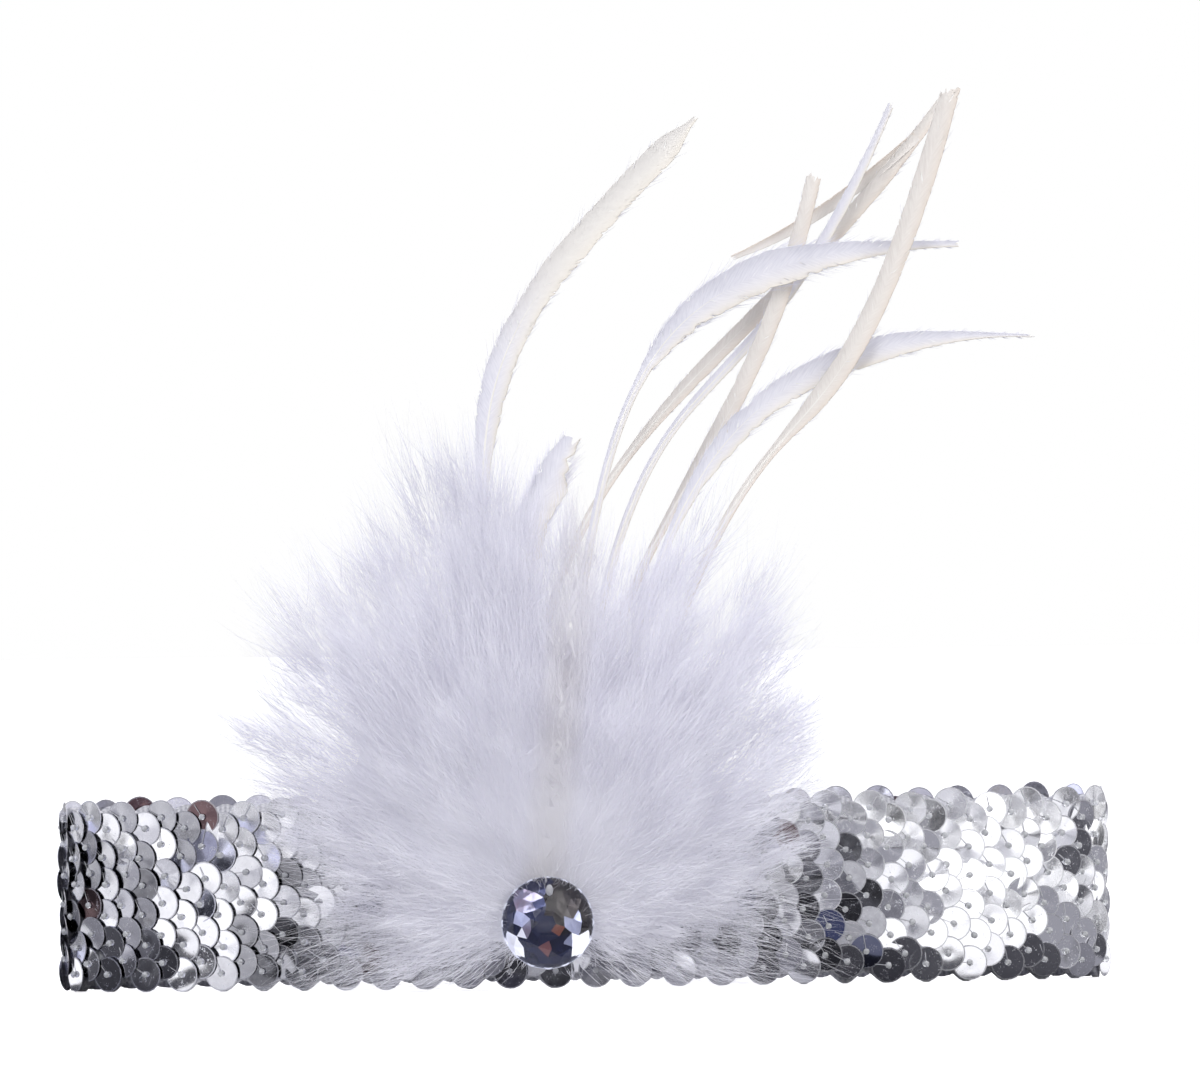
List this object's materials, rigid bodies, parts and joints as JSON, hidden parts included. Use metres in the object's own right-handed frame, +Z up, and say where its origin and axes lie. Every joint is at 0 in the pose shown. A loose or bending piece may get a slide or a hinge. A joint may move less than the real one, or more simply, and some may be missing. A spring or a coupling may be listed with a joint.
{
  "type": "feather headpiece",
  "caption": "Stretch head loop of lapped silver sequins with a white marabou tuft, slim curved feathers and a round faceted stone",
  "frame": {"origin": "centre of the bounding box on the floor that the loop's lower edge stands on", "axes": "+X to the right seen from the front, along the long way of the flattened loop; +Y from the front to the back; +Z up"},
  "size_m": [0.1804, 0.0826, 0.1534],
  "materials": {
    "backing": "matte",
    "sequins": "gloss",
    "stone": "gloss",
    "marabou": "matte",
    "plume_cream": "satin",
    "plume_white": "satin"
  },
  "bodies": {
    "root": {"band": "backing", "sequin_field": "sequins", "gem": "stone", "marabou_tuft": "marabou", "plume_left": "plume_white", "plume_stub": "plume_white", "plume_swept": "plume_white", "plume_forked": "plume_cream", "plume_thin": "plume_white", "plume_blunt": "plume_cream", "plume_low": "plume_white", "plume_tall": "plume_cream"}
  },
  "joints": []
}
